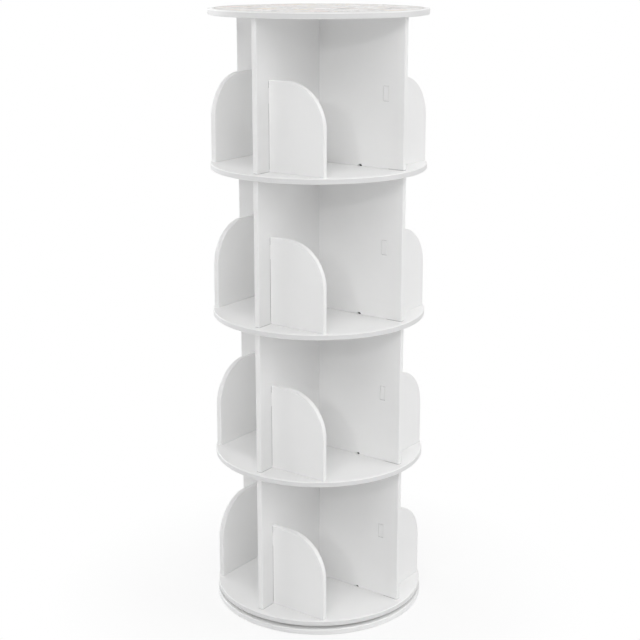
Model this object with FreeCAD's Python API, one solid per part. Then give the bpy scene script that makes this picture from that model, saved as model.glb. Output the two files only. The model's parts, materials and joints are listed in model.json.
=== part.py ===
import FreeCAD, Part
import math
import os

# A revolving tower of round shelves on a flat base plate.
# Each tier is a cross of two half-lapped walls with four arched baffles set round it like a pinwheel.
# Millimetres, +Z up. The origin is on the floor below the turning axis. The walls run along X and Y.

# Tiers and shelves
tier_count = 4
tier_clear_height = 300.0
shelf_diameter = 450.0
shelf_thickness = 12.0
disc_edge_round = 2.0

# Base plate and its pads
base_overhang = 1.0
base_thickness = 12.0
pad_count = 6
pad_diameter = 30.0
pad_thickness = 2.0
pad_rim_margin = 20.0
pad_edge_round = 0.5

# Walls: each pair of boards crosses on the axis
wall_thickness = 12.0
wall_rim_setback = 13.0
wall_edge_round = 2.0
lap_clearance = 0.1

# Baffles: quarter-arched boards standing square to the walls
baffle_thickness = 12.0
baffle_height = 180.0
baffle_arch_radius = 90.0
baffle_setback = 37.0
baffle_rim_margin = 2.0
baffle_edge_round = 2.0

# Tabs of the baffles and their slots through the walls
tab_height = 30.0
tab_drop = 15.0
tab_clearance = 0.35
tab_end_ease = 1.0

# Eased edges where boards stand on a shelf or meet a wall
joint_ease = 0.8

# Screws through the shelves, and the notches that clear their heads
screw_circle_radius = 108.0
screw_shank_diameter = 4.0
screw_head_diameter = 8.0
screw_head_height = 2.4
screw_head_round = 1.2
screw_bite = 30.0
screw_clearance = 0.1
socket_across_corners = 2.9
socket_depth = 1.3
socket_sides = 6
notch_clearance = 0.5

# Dowels
dowel_diameter = 6.0
dowel_bite = 15.0
dowel_skin = 4.0
dowel_inner_radius = 55.0
dowel_wall_end_margin = 25.0
dowel_baffle_margin = 30.0
dowel_clearance = 0.05
dowel_end_ease = 0.6

# Printed film on the top disc
film_rim_border = 9.0
film_thickness = 0.3

# Ring bearing between the base and the lowest shelf
ball_count = 24
ball_diameter = 4.5
pocket_clearance = 0.15
cage_bridge = 0.6
cage_end_gap = 0.75
cage_side_gap = 0.6
race_gap = 3.0
race_clearance = 0.1
ring_lift = 0.8
ring_width = 18.0
ring_edge_ease = 0.4
ring_screw_count = 8
ring_screw_shank_diameter = 3.5
ring_screw_head_diameter = 7.0
ring_screw_skin = 4.0
bolt_shank_diameter = 5.0
bolt_tip_gap = 0.5

# Heights that follow
cage_height = ball_diameter + 2 * (pocket_clearance + cage_bridge)
bearing_height = cage_height + 2 * cage_end_gap
ring_height = bearing_height - ring_lift
base_bottom = pad_thickness
base_top = base_bottom + base_thickness
tower_bottom = base_top + bearing_height
race_height = base_top + bearing_height / 2
tier_pitch = shelf_thickness + tier_clear_height
top_disc_bottom = tower_bottom + tier_count * tier_pitch
top_disc_top = top_disc_bottom + shelf_thickness

# Reaches from the axis that follow
shelf_radius = shelf_diameter / 2
base_radius = shelf_radius + base_overhang
wall_reach = shelf_radius - wall_rim_setback
baffle_outer_face = wall_reach - baffle_setback
baffle_middle = baffle_outer_face - baffle_thickness / 2
baffle_reach = math.sqrt((shelf_radius - baffle_rim_margin) ** 2 - baffle_outer_face ** 2)
wall_face = wall_thickness / 2
dowel_outer_radius = wall_reach - dowel_wall_end_margin

# Holes that follow
dowel_hole_diameter = dowel_diameter + 2 * dowel_clearance
dowel_blind_depth = shelf_thickness - dowel_skin
screw_hole_diameter = screw_shank_diameter + 2 * screw_clearance
bolt_hole_diameter = bolt_shank_diameter + 2 * screw_clearance
ring_screw_hole_diameter = ring_screw_shank_diameter + 2 * screw_clearance
ring_screw_bite = base_thickness - ring_screw_skin
head_corner = math.hypot(screw_head_diameter / 2 - screw_head_round, screw_head_height - screw_head_round)
notch_radius = head_corner + screw_head_round + notch_clearance

# Bearing radii that follow
upper_ring_inner = screw_circle_radius - ring_width / 2
upper_ring_outer = screw_circle_radius + ring_width / 2
ball_circle_radius = upper_ring_outer + race_gap / 2
lower_ring_inner = upper_ring_outer + race_gap
lower_ring_outer = lower_ring_inner + ring_width
ring_screw_radius = (lower_ring_inner + lower_ring_outer) / 2

full_turn = 360
half_turn = 180
quarter_turn = 90
plane_tolerance = 0.01
axis_up = FreeCAD.Vector(0, 0, 1)
arm_angles = {side: index * quarter_turn for index, side in enumerate(("right", "back", "left", "front"))}
tiers = range(1, tier_count + 1)


def shelf_bottom(tier):
    """Height of the underside of the disc that a tier stands on."""
    return tower_bottom + (tier - 1) * tier_pitch


def floor_height(tier):
    """Height of the surface that a tier's walls stand on."""
    return shelf_bottom(tier) + shelf_thickness


def turned(shape, degrees):
    """A copy of a shape, turned about the tower's axis."""
    copy = shape.copy()
    copy.rotate(FreeCAD.Vector(0, 0, 0), axis_up, degrees)
    return copy


def raised(shape, height):
    """A copy of a shape, lifted by a height."""
    copy = shape.copy()
    copy.translate(axis_up * height)
    return copy


def at(shape, radius, height):
    """A copy of a shape, moved out along X and lifted."""
    copy = shape.copy()
    copy.translate(FreeCAD.Vector(radius, 0, height))
    return copy


def post(diameter, low, high, x, y=0.0):
    """An upright round bar between two heights."""
    return Part.makeCylinder(diameter / 2, high - low, FreeCAD.Vector(x, y, low))


def round_the_arms(shape):
    """The shape of one arm, repeated for all four."""
    return [turned(shape, degrees) for degrees in arm_angles.values()]


def on_a_circle(shape, count):
    """A shape repeated evenly round the axis."""
    return [turned(shape, index * full_turn / count) for index in range(count)]


def cut(shape, tools):
    """A shape less a list of tools, as one clean solid."""
    return shape.cut(Part.makeCompound(tools)).removeSplitter()


def prism(points, along):
    """A solid pushed out from a flat polygon."""
    wire = Part.makePolygon(points + points[:1])
    return Part.Face(wire).extrude(along)


def eased_end(bar, ease):
    """A round bar with both of its end edges chamfered."""
    rims = [edge for edge in bar.Edges if edge.Closed]
    return bar.makeChamfer(ease, rims)


def disc(radius, thickness, bottom):
    """A round plate with rounded rims."""
    plate = Part.makeCylinder(radius, thickness, axis_up * bottom)
    rims = [edge for edge in plate.Edges if edge.Closed]
    return plate.makeFillet(disc_edge_round, rims)


def hollow_ring(inner, outer, low, height):
    """A plain flat ring."""
    start = axis_up * low
    return Part.makeCylinder(outer, height, start).cut(Part.makeCylinder(inner, height, start))


# Where the dowels and screws stand


def wall_dowel_radii():
    """Distances from the axis of the two dowels in each wall arm."""
    return (dowel_inner_radius, dowel_outer_radius)


def wall_dowel_bars(diameter, low, high):
    """Bars at every wall dowel of one level."""
    bars = []
    for radius in wall_dowel_radii():
        bars += round_the_arms(post(diameter, low, high, radius))
    return bars


def baffle_dowel_places():
    """Distances from the wall's middle plane of the two dowels in a baffle's foot."""
    return (wall_face + dowel_baffle_margin, baffle_reach - dowel_baffle_margin)


def baffle_dowel_bars(diameter, low, high):
    """Bars at every baffle dowel of one level."""
    bars = []
    for place in baffle_dowel_places():
        bars += round_the_arms(post(diameter, low, high, baffle_middle, place))
    return bars


def screw_bars(diameter, low, high):
    """Bars at the four screws of one level."""
    return round_the_arms(post(diameter, low, high, screw_circle_radius))


# Base, shelves and top


def base_disc():
    blind = base_top - ring_screw_bite - screw_clearance
    hole = post(ring_screw_hole_diameter, blind, base_top, ring_screw_radius)
    return cut(disc(base_radius, base_thickness, base_bottom), on_a_circle(hole, ring_screw_count))


def base_pads():
    radius = base_radius - pad_rim_margin - pad_diameter / 2
    pad = post(pad_diameter, 0, pad_thickness, radius)
    lower_rim = [edge for edge in pad.Edges if edge.Closed and edge.CenterOfMass.z < pad_thickness / 2]
    return on_a_circle(pad.makeFillet(pad_edge_round, lower_rim), pad_count)


def lowest_shelf():
    bottom = shelf_bottom(1)
    top = floor_height(1)
    blind = top - dowel_blind_depth - dowel_clearance
    holes = wall_dowel_bars(dowel_hole_diameter, blind, top)
    holes += baffle_dowel_bars(dowel_hole_diameter, blind, top)
    holes += screw_bars(bolt_hole_diameter, bottom, top)
    return cut(disc(shelf_radius, shelf_thickness, bottom), holes)


def middle_shelf(tier):
    bottom = shelf_bottom(tier)
    top = floor_height(tier)
    holes = wall_dowel_bars(dowel_hole_diameter, bottom, top)
    holes += baffle_dowel_bars(dowel_hole_diameter, top - dowel_blind_depth - dowel_clearance, top)
    holes += screw_bars(screw_hole_diameter, bottom, top)
    return cut(disc(shelf_radius, shelf_thickness, bottom), holes)


def top_disc():
    blind = top_disc_bottom + dowel_blind_depth + dowel_clearance
    holes = wall_dowel_bars(dowel_hole_diameter, top_disc_bottom, blind)
    sunk = countersunk_screw(screw_head_diameter, screw_hole_diameter, shelf_thickness)
    holes += placed_screws(sunk, top_disc_top)
    return cut(disc(shelf_radius, shelf_thickness, top_disc_bottom), holes)


def top_film():
    radius = shelf_radius - film_rim_border
    return Part.makeCylinder(radius, film_thickness, axis_up * top_disc_top)


# Walls and baffles


def eased_rectangle(half_width, height, ease):
    """Corners of an upright rectangle that stands on zero, with chamfered corners, as pairs."""
    return [
        (-half_width + ease, 0), (half_width - ease, 0),
        (half_width, ease), (half_width, height - ease),
        (half_width - ease, height), (-half_width + ease, height),
        (-half_width, height - ease), (-half_width, ease),
    ]


def plain_wall():
    """A board along X with rounded upright edges and eased edges at its foot and head."""
    size = FreeCAD.Vector(2 * wall_reach, wall_thickness, tier_clear_height)
    board = Part.makeBox(size.x, size.y, size.z, FreeCAD.Vector(-wall_reach, -wall_face, 0))
    upright = [edge for edge in board.Edges if edge.BoundBox.ZLength > plane_tolerance]
    board = board.makeFillet(wall_edge_round, upright)
    across = [FreeCAD.Vector(-wall_reach, y, z)
              for y, z in eased_rectangle(wall_face, tier_clear_height, joint_ease)]
    along = [FreeCAD.Vector(x, -wall_face, z)
             for x, z in eased_rectangle(wall_reach, tier_clear_height, joint_ease)]
    board = board.common(prism(across, FreeCAD.Vector(size.x, 0, 0)))
    return board.common(prism(along, FreeCAD.Vector(0, size.y, 0)))


def lap_slot(from_top):
    """The half-height slot where one wall takes the other."""
    width = wall_thickness + 2 * lap_clearance
    middle = tier_clear_height / 2
    low = middle if from_top else 0
    return Part.makeBox(width, width, middle, FreeCAD.Vector(-width / 2, -width / 2, low))


def tab_slot():
    """The slot through the right-hand arm for its baffle's tab."""
    low = baffle_height - tab_drop - tab_height - tab_clearance
    corner = FreeCAD.Vector(baffle_outer_face - baffle_thickness - tab_clearance, -wall_face, low)
    width = baffle_thickness + 2 * tab_clearance
    height = tab_height + 2 * tab_clearance
    return Part.makeBox(width, wall_thickness, height, corner)


def screw_notch():
    """The half-round notch in a wall's foot that clears a screw head."""
    start = FreeCAD.Vector(screw_circle_radius, -wall_face, 0)
    return Part.makeCylinder(notch_radius, wall_thickness, start, FreeCAD.Vector(0, 1, 0))


def wall(from_top):
    """A wall along X that stands on zero, slotted for its partner from the top or from the foot."""
    head = tier_clear_height
    arm = [tab_slot(), screw_notch()]
    arm.append(post(screw_hole_diameter, head - screw_bite - screw_clearance, head, screw_circle_radius))
    for radius in wall_dowel_radii():
        arm.append(post(dowel_hole_diameter, 0, dowel_bite + dowel_clearance, radius))
        arm.append(post(dowel_hole_diameter, head - dowel_bite - dowel_clearance, head, radius))
    tools = arm + [turned(tool, half_turn) for tool in arm]
    tools.append(lap_slot(from_top))
    return cut(plain_wall(), tools)


def baffle_outline():
    """The baffle's side view as a closed wire in the plane of its outer face, standing on zero."""
    x = baffle_outer_face
    arch_start = baffle_reach - baffle_arch_radius
    arch_foot = baffle_height - baffle_arch_radius
    lean = baffle_arch_radius * math.cos(math.pi / 4)
    inner_foot = FreeCAD.Vector(x, wall_face, 0)
    outer_foot = FreeCAD.Vector(x, baffle_reach, 0)
    outer_top = FreeCAD.Vector(x, baffle_reach, arch_foot)
    arch_middle = FreeCAD.Vector(x, arch_start + lean, arch_foot + lean)
    flat_end = FreeCAD.Vector(x, arch_start, baffle_height)
    inner_top = FreeCAD.Vector(x, wall_face, baffle_height)
    return Part.Wire([
        Part.makeLine(inner_foot, outer_foot),
        Part.makeLine(outer_foot, outer_top),
        Part.Arc(outer_top, arch_middle, flat_end).toShape(),
        Part.makeLine(flat_end, inner_top),
        Part.makeLine(inner_top, inner_foot),
    ])


def is_free_edge(edge):
    """Whether an edge follows the arch, the flat beside it or the free end, on either face."""
    box = edge.BoundBox
    on_a_face = box.XLength < plane_tolerance
    off_the_wall = box.YMax > wall_face + plane_tolerance
    off_the_foot = box.ZMax > plane_tolerance
    return on_a_face and off_the_wall and off_the_foot


def baffle():
    """The right-hand baffle, standing on zero, with its tab through the wall."""
    board = Part.Face(baffle_outline()).extrude(FreeCAD.Vector(-baffle_thickness, 0, 0))
    board = board.makeFillet(baffle_edge_round, [edge for edge in board.Edges if is_free_edge(edge)])
    tools = []
    for face, ease in ((baffle_outer_face - baffle_thickness, joint_ease), (baffle_outer_face, -joint_ease)):
        corner = FreeCAD.Vector(face, wall_face, 0)
        inward = corner + FreeCAD.Vector(ease, 0, 0)
        above = corner + FreeCAD.Vector(0, 0, joint_ease)
        beside = corner + FreeCAD.Vector(0, joint_ease, 0)
        tools.append(prism([corner, inward, above], FreeCAD.Vector(0, baffle_reach - wall_face, 0)))
        tools.append(prism([corner, inward, beside], FreeCAD.Vector(0, 0, baffle_height)))
    for place in baffle_dowel_places():
        tools.append(post(dowel_hole_diameter, 0, dowel_bite + dowel_clearance, baffle_middle, place))
    return cut(board, tools).fuse(tab()).removeSplitter()


def tab():
    """The baffle's tab, flush with the wall's far face, rooted a board's thickness into the baffle."""
    low = baffle_height - tab_drop - tab_height
    corner = FreeCAD.Vector(baffle_outer_face - baffle_thickness, -wall_face, low)
    bar = Part.makeBox(baffle_thickness, wall_thickness + baffle_thickness, tab_height, corner)
    end_edges = [edge for edge in bar.Edges if edge.BoundBox.YMax < 0]
    return bar.makeChamfer(tab_end_ease, end_edges)


# Screws and dowels


def socket(top):
    """A six-sided driver socket below a height."""
    corner = FreeCAD.Vector(socket_across_corners / 2, 0, 0)
    corners = [point.Vertexes[0].Point for point in on_a_circle(Part.Vertex(corner), socket_sides)]
    return raised(prism(corners, axis_up * socket_depth), top - socket_depth)


def button_screw(shank_diameter, length):
    """A domed screw whose head sits on zero and whose shank hangs below."""
    head = post(screw_head_diameter, 0, screw_head_height, 0)
    rim = [edge for edge in head.Edges if edge.Closed and edge.CenterOfMass.z > 0]
    head = head.makeFillet(screw_head_round, rim)
    return cut(head.fuse(post(shank_diameter, -length, 0, 0)), [socket(screw_head_height)])


def countersunk_screw(head_diameter, shank_diameter, length):
    """A flat-headed screw, without its socket, whose head's top is at zero."""
    sink = (head_diameter - shank_diameter) / 2
    cone = Part.makeCone(shank_diameter / 2, head_diameter / 2, sink, axis_up * -sink)
    return cone.fuse(post(shank_diameter, -length, -sink, 0))


def placed_screws(screw, height):
    """A screw at each arm's screw hole."""
    return round_the_arms(at(screw, screw_circle_radius, height))


def shelf_screws():
    screws = []
    for tier in tiers[1:]:
        screw = button_screw(screw_shank_diameter, shelf_thickness + screw_bite)
        screws += placed_screws(screw, floor_height(tier))
    return screws


def top_screws():
    head_diameter = screw_head_diameter - 2 * screw_clearance
    screw = countersunk_screw(head_diameter, screw_shank_diameter, shelf_thickness + screw_bite)
    return placed_screws(cut(screw, [socket(0)]), top_disc_top)


def turntable_bolts():
    length = shelf_thickness + ring_height - bolt_tip_gap
    return placed_screws(button_screw(bolt_shank_diameter, length), floor_height(1))


def dowels(bars):
    return [eased_end(bar, dowel_end_ease) for bar in bars]


def through_dowels():
    bars = []
    for tier in tiers[1:]:
        low = shelf_bottom(tier) - dowel_bite
        high = floor_height(tier) + dowel_bite
        bars += wall_dowel_bars(dowel_diameter, low, high)
    return dowels(bars)


def end_dowels():
    low = floor_height(1)
    bars = wall_dowel_bars(dowel_diameter, low - dowel_blind_depth, low + dowel_bite)
    bars += wall_dowel_bars(dowel_diameter, top_disc_bottom - dowel_bite, top_disc_bottom + dowel_blind_depth)
    return dowels(bars)


def baffle_dowels():
    bars = []
    for tier in tiers:
        low = floor_height(tier)
        bars += baffle_dowel_bars(dowel_diameter, low - dowel_blind_depth, low + dowel_bite)
    return dowels(bars)


# Ring bearing


def race_ring(inner, outer, low):
    """A flat ring with eased edges and the ball groove cut into it."""
    blank = hollow_ring(inner, outer, low, ring_height)
    rims = [edge for edge in blank.Edges if edge.Closed]
    groove = Part.makeTorus(ball_circle_radius, ball_diameter / 2 + race_clearance, axis_up * race_height)
    return blank.makeChamfer(ring_edge_ease, rims).cut(groove)


def bearing_lower_ring():
    sunk = countersunk_screw(ring_screw_head_diameter, ring_screw_hole_diameter, ring_height)
    holes = on_a_circle(at(sunk, ring_screw_radius, base_top + ring_height), ring_screw_count)
    return cut(race_ring(lower_ring_inner, lower_ring_outer, base_top), holes)


def lower_ring_screws():
    head_diameter = ring_screw_head_diameter - 2 * screw_clearance
    screw = countersunk_screw(head_diameter, ring_screw_shank_diameter, ring_height + ring_screw_bite)
    screw = cut(screw, [socket(0)])
    return on_a_circle(at(screw, ring_screw_radius, base_top + ring_height), ring_screw_count)


def bearing_upper_ring():
    low = base_top + ring_lift
    holes = screw_bars(bolt_hole_diameter, low, tower_bottom)
    return cut(race_ring(upper_ring_inner, upper_ring_outer, low), holes)


def bearing_balls():
    ball = Part.makeSphere(ball_diameter / 2, FreeCAD.Vector(ball_circle_radius, 0, race_height))
    return on_a_circle(ball, ball_count)


def bearing_cage():
    inner = upper_ring_outer + cage_side_gap
    outer = lower_ring_inner - cage_side_gap
    blank = hollow_ring(inner, outer, base_top + cage_end_gap, cage_height)
    pocket_start = FreeCAD.Vector(upper_ring_outer, 0, race_height)
    pocket_radius = ball_diameter / 2 + pocket_clearance
    pocket = Part.makeCylinder(pocket_radius, race_gap, pocket_start, FreeCAD.Vector(1, 0, 0))
    return cut(blank, on_a_circle(pocket, ball_count))


def save(name, shape):
    """Write one node: a solid, or a group of separate solids."""
    if isinstance(shape, list):
        shape = Part.makeCompound(shape)
    shape.exportStep(f"parts/{name}.step")


os.makedirs("parts", exist_ok=True)

save("base_disc", base_disc())
save("base_pads", base_pads())
save("bearing_lower_ring", bearing_lower_ring())
save("lower_ring_screws", lower_ring_screws())
save("bearing_cage", bearing_cage())
save("bearing_balls", bearing_balls())
save("bearing_upper_ring", bearing_upper_ring())
save("turntable_bolts", turntable_bolts())

save("shelf_disc_1", lowest_shelf())
for tier in tiers[1:]:
    save(f"shelf_disc_{tier}", middle_shelf(tier))
save("top_disc", top_disc())
save("top_film", top_film())

wall_along_x = wall(from_top=True)
wall_along_y = turned(wall(from_top=False), quarter_turn)
right_baffle = baffle()
for tier in tiers:
    floor = floor_height(tier)
    save(f"wall_x_{tier}", raised(wall_along_x, floor))
    save(f"wall_y_{tier}", raised(wall_along_y, floor))
    for side, degrees in arm_angles.items():
        save(f"baffle_{side}_{tier}", raised(turned(right_baffle, degrees), floor))

save("shelf_screws", shelf_screws())
save("top_screws", top_screws())
save("through_dowels", through_dowels())
save("end_dowels", end_dowels())
save("baffle_dowels", baffle_dowels())
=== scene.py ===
import json
import math
import bpy
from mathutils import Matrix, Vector


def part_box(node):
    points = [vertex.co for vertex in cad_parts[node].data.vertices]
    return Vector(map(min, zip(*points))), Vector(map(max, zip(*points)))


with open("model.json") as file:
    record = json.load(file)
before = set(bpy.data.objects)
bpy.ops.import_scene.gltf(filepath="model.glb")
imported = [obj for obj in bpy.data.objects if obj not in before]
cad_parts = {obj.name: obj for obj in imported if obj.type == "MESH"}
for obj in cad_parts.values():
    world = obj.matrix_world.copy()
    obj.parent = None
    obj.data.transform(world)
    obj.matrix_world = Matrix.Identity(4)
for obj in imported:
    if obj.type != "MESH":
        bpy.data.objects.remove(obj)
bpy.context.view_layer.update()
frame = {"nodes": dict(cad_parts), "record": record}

# Sizes of the tower, in metres
tower_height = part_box("top_disc")[1].z
tower_middle = Vector((0.0, 0.0, tower_height / 2))
shelf_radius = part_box("top_disc")[1].x
base_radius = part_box("base_disc")[1].x
film_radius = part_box("top_film")[1].x
shelf_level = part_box("shelf_disc_1")[1].z
tier_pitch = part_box("shelf_disc_2")[1].z - shelf_level
wall_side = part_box("wall_x_1")[1].y
baffle_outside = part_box("baffle_right_1")[1].x

# Camera: the picture in pixels, places in metres, angles in degrees
picture_width = 640
focal_pixels = 1334.3
axis_row = 295
sensor_width = 36.0
camera_distance = 2.76
camera_above_top = 0.112
camera_azimuth = 35.99
camera_pitch = 14.474
camera_yaw = 0.052

# Light: a faint white sky, and soft lamps round the tower's middle, in degrees and metres,
# each with the light that it gives there, in watts per square metre
sky_colour = (1.0, 1.0, 1.0, 1.0)
sky_strength = 0.03
lamps = {
    "key_lamp": dict(azimuth=13.0, elevation=23.0, distance=6.0, spread=3.0, strength=0.2),
    "front_lamp": dict(azimuth=36.0, elevation=36.0, distance=40.0, spread=55.0, strength=1.06),
    "near_lamp": dict(azimuth=36.0, elevation=45.0, distance=6.0, spread=40.0, strength=0.44),
    "high_lamp": dict(azimuth=10.0, elevation=60.0, distance=40.0, spread=55.0, strength=0.4),
    "right_lamp": dict(azimuth=118.0, elevation=18.0, distance=40.0, spread=34.0, strength=0.5),
    "far_right_lamp": dict(azimuth=130.0, elevation=40.0, distance=40.0, spread=55.0, strength=1.36),
    "back_lamp": dict(azimuth=200.0, elevation=35.0, distance=40.0, spread=60.0, strength=0.42),
    "left_lamp": dict(azimuth=-95.0, elevation=16.0, distance=40.0, spread=30.0, strength=1.5),
    "left_front_lamp": dict(azimuth=-60.0, elevation=16.0, distance=40.0, spread=30.0, strength=0.52),
}

# Floor: white to the eye away from the tower, with the tower's shadow near it
floor_reach = 60.0
floor_tone = 0.85
shadow_inner_radius = 0.25
shadow_outer_radius = 0.6
shadow_whiteness = 0.85

# Painted shade in the seams between boards where they are open, and none where the boards are tight
seam_reach = 0.003
seam_shade_tone = (0.4, 0.4, 0.4)
shade_start_openness = 0.57
shade_full_openness = 0.3
crossing_radius = 0.01
foot_height = 0.003
notch_height = 0.02
slot_depth = 0.0001
slot_shade = 0.8

# Painted shade on the upright rims of the shelves and the top, as edge bands a shade greyer than the
# faces
rim_shade_tone = (0.755, 0.755, 0.755)
band_depth = 0.0015

# How far a face's normal rises on faces that count as upright and as level
upright_rise = 0.1
level_rise = 0.4

# Print on the film: each size of chip by its cells in a metre and the share of them that show,
# the chips' insets and soft edge in cells, and their tones along a random number
film_chips = ((24.0, 0.45), (55.0, 0.35), (120.0, 0.3))
chip_least_inset = 0.05
chip_most_inset = 0.2
chip_soft_edge = 0.02
shown_step = 0.001
chip_tones = (
    (0.0, (0.86, 0.85, 0.84)),
    (0.3, (0.62, 0.615, 0.61)),
    (0.55, (0.79, 0.69, 0.67)),
    (0.72, (0.77, 0.70, 0.58)),
    (0.86, (0.50, 0.495, 0.49)),
)
border_tone = (0.5, 0.495, 0.49)
border_width = 0.002
border_softness = 0.0003
border_inset = 0.004
border_radius = film_radius - border_inset

# Where most of a noise's values lie
noise_low = 0.3
noise_high = 0.7

# Sockets of a Mix node that mixes colours
mix_ground = 6
mix_colour = 7
mix_result = 2


def heading(azimuth, elevation):
    """Unit vector from the tower towards a viewer at that azimuth and elevation."""
    turn = math.radians(azimuth)
    rise = math.radians(elevation)
    return Vector((math.sin(turn) * math.cos(rise), -math.cos(turn) * math.cos(rise), math.sin(rise)))


def add_object(name, data):
    thing = bpy.data.objects.new(name, data)
    bpy.context.scene.collection.objects.link(thing)
    return thing


def make_camera():
    data = bpy.data.cameras.new("camera")
    data.sensor_width = sensor_width
    data.lens = sensor_width * focal_pixels / picture_width
    data.shift_y = (axis_row - picture_width / 2) / picture_width
    camera = add_object("camera", data)
    camera.location = heading(camera_azimuth, 0) * camera_distance
    camera.location.z = tower_height + camera_above_top
    look = -heading(camera_azimuth - camera_yaw, camera_pitch)
    camera.rotation_euler = look.to_track_quat("-Z", "Y").to_euler()
    bpy.context.scene.camera = camera


# Shader helpers


class Paint:
    """A new material with short ways to add and join its nodes."""

    def __init__(self, name):
        self.material = bpy.data.materials.new(name)
        self.material.use_nodes = True
        self.tree = self.material.node_tree
        self.shader = self.tree.nodes["Principled BSDF"]

    def add(self, kind, **settings):
        node = self.tree.nodes.new(kind)
        for setting, value in settings.items():
            setattr(node, setting, value)
        return node

    def join(self, source, target):
        self.tree.links.new(source, target)

    def drive(self, socket, source):
        """Join a source to one of the shader's own sockets."""
        self.join(source, self.shader.inputs[socket])

    def fix(self, socket, value):
        """Set one of the shader's own sockets to the same value all over."""
        self.shader.inputs[socket].default_value = value

    def place(self, stretch=(1.0, 1.0, 1.0)):
        """Position on the object in metres, stretched along its axes."""
        coordinates = self.add("ShaderNodeTexCoord")
        mapping = self.add("ShaderNodeMapping")
        mapping.inputs["Scale"].default_value = stretch
        self.join(coordinates.outputs["Object"], mapping.inputs["Vector"])
        return mapping.outputs["Vector"]

    def split(self, vector):
        """The X, Y and Z of a vector, by name."""
        node = self.add("ShaderNodeSeparateXYZ")
        self.join(vector, node.inputs[0])
        return node.outputs

    def radius(self):
        """Distance from the turning axis, in metres."""
        length = self.add("ShaderNodeVectorMath", operation="LENGTH")
        self.join(self.place((1.0, 1.0, 0.0)), length.inputs[0])
        return length.outputs["Value"]

    def by_rise(self, on_upright, on_level):
        """One value on upright faces and another on level ones."""
        normal = self.split(self.add("ShaderNodeNewGeometry").outputs["Normal"])
        rise = self.math("ABSOLUTE", normal["Z"])
        return self.spread(rise, upright_rise, level_rise, on_upright, on_level)

    def openness(self, reach):
        """One in the open, less in a groove or a corner."""
        node = self.add("ShaderNodeAmbientOcclusion")
        node.inputs["Distance"].default_value = reach
        return node.outputs["AO"]

    def noise(self, scale, detail=2.0, stretch=(1.0, 1.0, 1.0)):
        node = self.add("ShaderNodeTexNoise")
        node.inputs["Scale"].default_value = scale
        node.inputs["Detail"].default_value = detail
        self.join(self.place(stretch), node.inputs["Vector"])
        return node.outputs["Fac"]

    def cells(self, scale):
        """Distance to the border of a flat cell, in cells, and three random numbers for the cell."""
        border = self.add("ShaderNodeTexVoronoi", voronoi_dimensions="2D", feature="DISTANCE_TO_EDGE")
        cell = self.add("ShaderNodeTexVoronoi", voronoi_dimensions="2D")
        place = self.place()
        for node in (border, cell):
            node.inputs["Scale"].default_value = scale
            self.join(place, node.inputs["Vector"])
        numbers = self.add("ShaderNodeSeparateColor")
        self.join(cell.outputs["Color"], numbers.inputs[0])
        return border.outputs["Distance"], numbers.outputs

    def spread(self, source, low, high, new_low=0.0, new_high=1.0):
        """A value between two levels, moved to two others and held there."""
        node = self.add("ShaderNodeMapRange")
        levels = {"From Min": low, "From Max": high, "To Min": new_low, "To Max": new_high}
        for socket, value in levels.items():
            node.inputs[socket].default_value = value
        self.join(source, node.inputs["Value"])
        return node.outputs["Result"]

    def math(self, operation, *values):
        """What an operation makes of one or two values, each from a node or a plain number."""
        node = self.add("ShaderNodeMath", operation=operation)
        for socket, value in zip(node.inputs, values):
            if isinstance(value, float):
                socket.default_value = value
            else:
                self.join(value, socket)
        return node.outputs[0]

    def times(self, one, other):
        return self.math("MULTIPLY", one, other)

    def either(self, one, other):
        return self.math("MAXIMUM", one, other)

    def ramp(self, source, stops, interpolation="LINEAR"):
        """Colours along a scale of values."""
        node = self.add("ShaderNodeValToRGB")
        node.color_ramp.interpolation = interpolation
        elements = node.color_ramp.elements
        while len(elements) < len(stops):
            elements.new(1.0)
        for element, (position, colour) in zip(elements, stops):
            element.position = position
            element.color = (*colour, 1.0)
        self.join(source, node.inputs["Fac"])
        return node.outputs["Color"]

    def shade(self, pattern, first, last, low=noise_low, high=noise_high):
        """A colour between two, by a pattern."""
        return self.ramp(pattern, ((low, first), (high, last)))

    def over(self, factor, ground, colour):
        """A colour laid over a ground where the factor is one."""
        node = self.add("ShaderNodeMix", data_type="RGBA")
        self.join(factor, node.inputs["Factor"])
        for socket, source in ((mix_ground, ground), (mix_colour, colour)):
            if isinstance(source, tuple):
                node.inputs[socket].default_value = (*source, 1.0)
            else:
                self.join(source, node.inputs[socket])
        return node.outputs[mix_result]

    def roughen(self, pattern, first, last, low=noise_low, high=noise_high):
        """Roughness between two values, by a pattern."""
        self.drive("Roughness", self.spread(pattern, low, high, first, last))

    def bump(self, source, depth, strength):
        node = self.add("ShaderNodeBump")
        node.inputs["Strength"].default_value = strength
        node.inputs["Distance"].default_value = depth
        self.join(source, node.inputs["Height"])
        self.drive("Normal", node.outputs["Normal"])


# Materials


def shelf_distance(paint):
    """Upright distance from the top of the nearest shelf, in metres."""
    above = paint.math("SUBTRACT", paint.split(paint.place())["Z"], shelf_level)
    return paint.math("PINGPONG", above, tier_pitch / 2)


def wall_distance(paint):
    """Distance from the middle plane of the nearer wall, in metres."""
    position = paint.split(paint.place())
    return paint.math("MINIMUM", *(paint.math("ABSOLUTE", position[axis]) for axis in "XY"))


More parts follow.
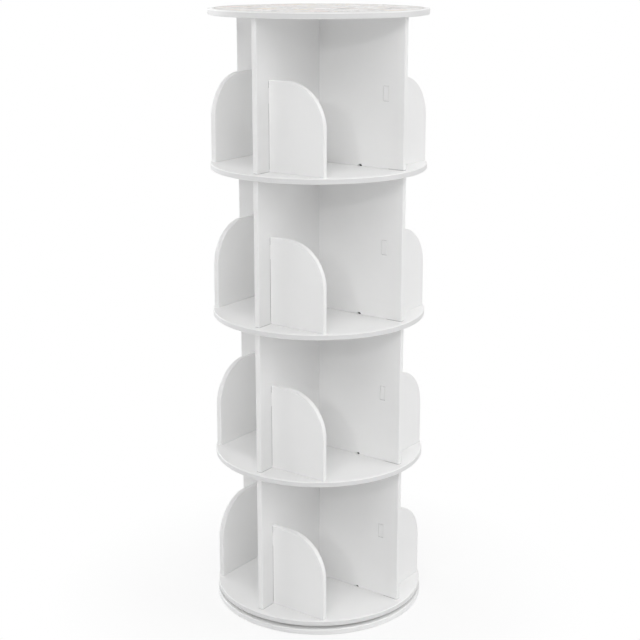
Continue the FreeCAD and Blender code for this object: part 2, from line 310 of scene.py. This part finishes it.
def painted_seam_shade(paint, radius):
    """Painted shade in the seams: one in the open seams between boards, and zero on the faces and in
    the tight seams.

    The boards are tight at the walls' crossing, at the sides of the tabs and at their feet,
    but not in the screw notches or under the walls' outer ends."""
    from_shelf = shelf_distance(paint)
    from_wall = wall_distance(paint)
    off_crossing = paint.spread(radius, crossing_radius, 2 * crossing_radius)
    off_foot = paint.spread(from_shelf, foot_height, 2 * foot_height)
    out_of_wall = paint.spread(from_wall, wall_side - slot_depth, wall_side)
    in_notch = paint.spread(from_shelf, 2 * notch_height, notch_height)
    level_in_slot = paint.by_rise(on_upright=0.0, on_level=slot_shade)
    off_slot = paint.either(paint.either(out_of_wall, in_notch), level_in_slot)
    beside_wall = paint.spread(from_wall, wall_side + seam_reach, wall_side + seam_reach / 2)
    past_baffle = paint.spread(radius, baffle_outside, baffle_outside + seam_reach)
    wall_end = paint.times(beside_wall, past_baffle)
    loose = paint.times(off_crossing, paint.either(paint.times(off_foot, off_slot), wall_end))
    # Painted shade: the seams darken where they are less open to light
    deep = paint.spread(paint.openness(seam_reach), shade_start_openness, shade_full_openness)
    return paint.times(loose, deep)


def rim_shade_band(paint, radius):
    """Painted shade on the rims: one on the upright rims of the shelves and the top, and zero
    elsewhere, as on the wider base.
    """
    outside = paint.spread(radius, shelf_radius - band_depth, shelf_radius - band_depth / 2)
    inside_base = paint.spread(radius, base_radius, shelf_radius)
    on_upright = paint.by_rise(on_upright=1.0, on_level=0.0)
    return paint.times(paint.times(outside, inside_base), on_upright)


def white_board():
    """Satin white lacquer on board, with a faint orange peel and painted shade in the seams."""
    paint = Paint("white_board")
    radius = paint.radius()
    cloud = paint.noise(scale=7.0, detail=4.0)
    lacquer = paint.shade(cloud, first=(0.865, 0.865, 0.863), last=(0.892, 0.892, 0.89))
    # The rims are painted greyer over the lacquer, as shade
    rim_shaded = paint.over(rim_shade_band(paint, radius), lacquer, rim_shade_tone)
    # The open seams are painted darker over the lacquer, as shade
    paint.drive("Base Color", paint.over(painted_seam_shade(paint, radius), rim_shaded, seam_shade_tone))
    paint.roughen(cloud, first=0.42, last=0.54)
    paint.bump(paint.noise(scale=650.0, detail=3.0), depth=0.0001, strength=0.35)
    return paint.material


def film_print():
    """A print of pale stone chips in three sizes on matte film, inside a thin border line."""
    paint = Paint("film_print")
    drift = paint.noise(scale=9.0, detail=3.0)
    ground = paint.shade(drift, first=(0.69, 0.68, 0.67), last=(0.76, 0.75, 0.74))
    sheet = ground
    for cells_in_metre, share in film_chips:
        border, numbers = paint.cells(cells_in_metre)
        inset = paint.spread(numbers["Blue"], 0.0, 1.0, chip_least_inset, chip_most_inset)
        inside = paint.spread(paint.math("SUBTRACT", border, inset), 0.0, chip_soft_edge)
        shown = paint.spread(numbers["Red"], 1.0 - share, 1.0 - share + shown_step)
        tone = paint.ramp(numbers["Green"], chip_tones, "CONSTANT")
        sheet = paint.over(paint.times(inside, shown), sheet, tone)
    radius = paint.radius()
    inner_radius = border_radius - border_width
    past_line = paint.spread(radius, border_radius, border_radius + border_softness)
    past_sheet = paint.spread(radius, inner_radius - border_softness, inner_radius)
    margin = paint.over(past_line, border_tone, ground)
    paint.drive("Base Color", paint.over(past_sheet, sheet, margin))
    paint.roughen(drift, first=0.5, last=0.6)
    paint.fix("Specular IOR Level", 0.3)
    paint.bump(paint.noise(scale=900.0), depth=0.00005, strength=0.4)
    return paint.material


def bearing_aluminium():
    """Turned aluminium, with fine tool marks round the axis."""
    marks_in_metre = 2600.0
    paint = Paint("bearing_aluminium")
    rings = paint.add("ShaderNodeTexNoise", noise_dimensions="1D")
    rings.inputs["Scale"].default_value = marks_in_metre
    paint.join(paint.radius(), rings.inputs["W"])
    marks = rings.outputs["Fac"]
    paint.drive("Base Color", paint.shade(marks, first=(0.68, 0.69, 0.70), last=(0.78, 0.79, 0.80)))
    paint.roughen(marks, first=0.26, last=0.4)
    paint.fix("Metallic", 1.0)
    paint.bump(marks, depth=0.00004, strength=0.5)
    return paint.material


def cage_plastic():
    """Natural moulded plastic, slightly waxy."""
    paint = Paint("cage_plastic")
    cloud = paint.noise(scale=160.0, detail=3.0)
    paint.drive("Base Color", paint.shade(cloud, first=(0.70, 0.69, 0.65), last=(0.77, 0.76, 0.72)))
    paint.roughen(cloud, first=0.38, last=0.5)
    paint.bump(paint.noise(scale=1800.0), depth=0.00003, strength=0.4)
    return paint.material


def ball_steel():
    """Ground bearing steel under a thin smear of grease."""
    smear_low = 0.35
    smear_high = 0.6
    paint = Paint("ball_steel")
    smear = paint.noise(scale=420.0, detail=3.0)
    colour = paint.shade(smear, (0.60, 0.58, 0.54), (0.78, 0.78, 0.79), smear_low, smear_high)
    paint.drive("Base Color", colour)
    paint.roughen(smear, 0.22, 0.07, smear_low, smear_high)
    paint.fix("Metallic", 1.0)
    return paint.material


def screw_steel():
    """Black oxide, rubbed a little brighter on the high spots."""
    wear_low = 0.45
    wear_high = 0.75
    paint = Paint("screw_steel")
    wear = paint.noise(scale=500.0, detail=4.0)
    colour = paint.shade(wear, (0.035, 0.035, 0.038), (0.11, 0.11, 0.115), wear_low, wear_high)
    paint.drive("Base Color", colour)
    paint.roughen(wear, 0.48, 0.34, wear_low, wear_high)
    paint.fix("Metallic", 0.7)
    paint.bump(wear, depth=0.00003, strength=0.4)
    return paint.material


def dowel_wood():
    """Beech, with grain and dark flecks along the dowel."""
    fleck_tone = (0.50, 0.33, 0.19)
    early_tone = (0.66, 0.48, 0.30)
    late_tone = (0.74, 0.57, 0.38)
    fleck_end = 0.42
    paint = Paint("dowel_wood")
    grain = paint.noise(scale=900.0, detail=4.0, stretch=(1.0, 1.0, 0.05))
    tones = ((noise_low, fleck_tone), (fleck_end, early_tone), (noise_high, late_tone))
    paint.drive("Base Color", paint.ramp(grain, tones))
    paint.roughen(grain, first=0.68, last=0.56)
    paint.bump(grain, depth=0.00008, strength=0.6)
    return paint.material


def pad_rubber():
    """Foamed black rubber with fine pores."""
    pore_low = 0.35
    pore_high = 0.6
    paint = Paint("pad_rubber")
    pores = paint.noise(scale=1100.0, detail=3.0)
    colour = paint.shade(pores, (0.018, 0.018, 0.019), (0.045, 0.045, 0.046), pore_low, pore_high)
    paint.drive("Base Color", colour)
    paint.roughen(pores, first=0.88, last=0.72)
    paint.bump(pores, depth=0.0002, strength=0.6)
    return paint.material


recipes = (
    white_board, film_print, bearing_aluminium, cage_plastic,
    ball_steel, screw_steel, dowel_wood, pad_rubber,
)


def dress_nodes():
    """Give every node the material that its slot in the record names."""
    materials = {recipe.__name__: recipe() for recipe in recipes}
    for entry in frame["record"]["subparts"]:
        slots = frame["nodes"][entry["node"]].data.materials
        slots.clear()
        slots.append(materials[entry["material_slot"]])


# Stage and light


def seen_directly(tree):
    """One for what is seen straight, in a reflection or through glass, and zero for other light."""
    path = tree.nodes.new("ShaderNodeLightPath")
    total = path.outputs["Is Camera Ray"]
    for kind in ("Is Glossy Ray", "Is Transmission Ray"):
        either = tree.nodes.new("ShaderNodeMath")
        either.operation = "MAXIMUM"
        tree.links.new(total, either.inputs[0])
        tree.links.new(path.outputs[kind], either.inputs[1])
        total = either.outputs[0]
    return total


def choose(tree, factor, at_zero, at_one):
    """A shader that goes from one to another, by a factor."""
    node = tree.nodes.new("ShaderNodeMixShader")
    for socket, source in zip(node.inputs, (factor, at_zero, at_one)):
        tree.links.new(source, socket)
    return node.outputs[0]


def make_floor():
    data = bpy.data.meshes.new("floor")
    corners = [(-1, -1), (1, -1), (1, 1), (-1, 1)]
    data.from_pydata([(x * floor_reach, y * floor_reach, 0) for x, y in corners], [], [(0, 1, 2, 3)])
    floor = add_object("floor", data)
    paint = Paint("floor")
    paint.fix("Base Color", (floor_tone, floor_tone, floor_tone, 1.0))
    paint.fix("Roughness", 1.0)
    paint.fix("Specular IOR Level", 0.0)
    lit = paint.shader.outputs[0]
    glow = paint.add("ShaderNodeEmission").outputs[0]
    whiteness = paint.spread(
        paint.radius(), shadow_inner_radius, shadow_outer_radius, shadow_whiteness, 1.0)
    veiled = choose(paint.tree, whiteness, lit, glow)
    surface = choose(paint.tree, seen_directly(paint.tree), lit, veiled)
    paint.join(surface, paint.tree.nodes["Material Output"].inputs["Surface"])
    data.materials.append(paint.material)


def make_world():
    world = bpy.data.worlds.new("studio")
    world.use_nodes = True
    bpy.context.scene.world = world
    tree = world.node_tree
    light = tree.nodes["Background"]
    light.inputs["Color"].default_value = sky_colour
    light.inputs["Strength"].default_value = sky_strength
    backdrop = tree.nodes.new("ShaderNodeBackground")
    backdrop.inputs["Color"].default_value = sky_colour
    surface = choose(tree, seen_directly(tree), light.outputs[0], backdrop.outputs[0])
    tree.links.new(surface, tree.nodes["World Output"].inputs["Surface"])


def add_lamp(name, azimuth, elevation, distance, spread, strength):
    """A round lamp that faces the tower's middle and fills the angle spread from there."""
    data = bpy.data.lights.new(name, "AREA")
    data.shape = "DISK"
    data.size = 2 * distance * math.tan(math.radians(spread) / 2)
    data.energy = strength * math.pi * distance ** 2
    lamp = add_object(name, data)
    back = heading(azimuth, elevation)
    lamp.location = tower_middle + back * distance
    lamp.rotation_euler = (-back).to_track_quat("-Z", "Y").to_euler()


make_camera()
dress_nodes()
make_floor()
make_world()
for lamp_name, values in lamps.items():
    add_lamp(lamp_name, **values)
bpy.context.scene.view_settings.view_transform = "Standard"
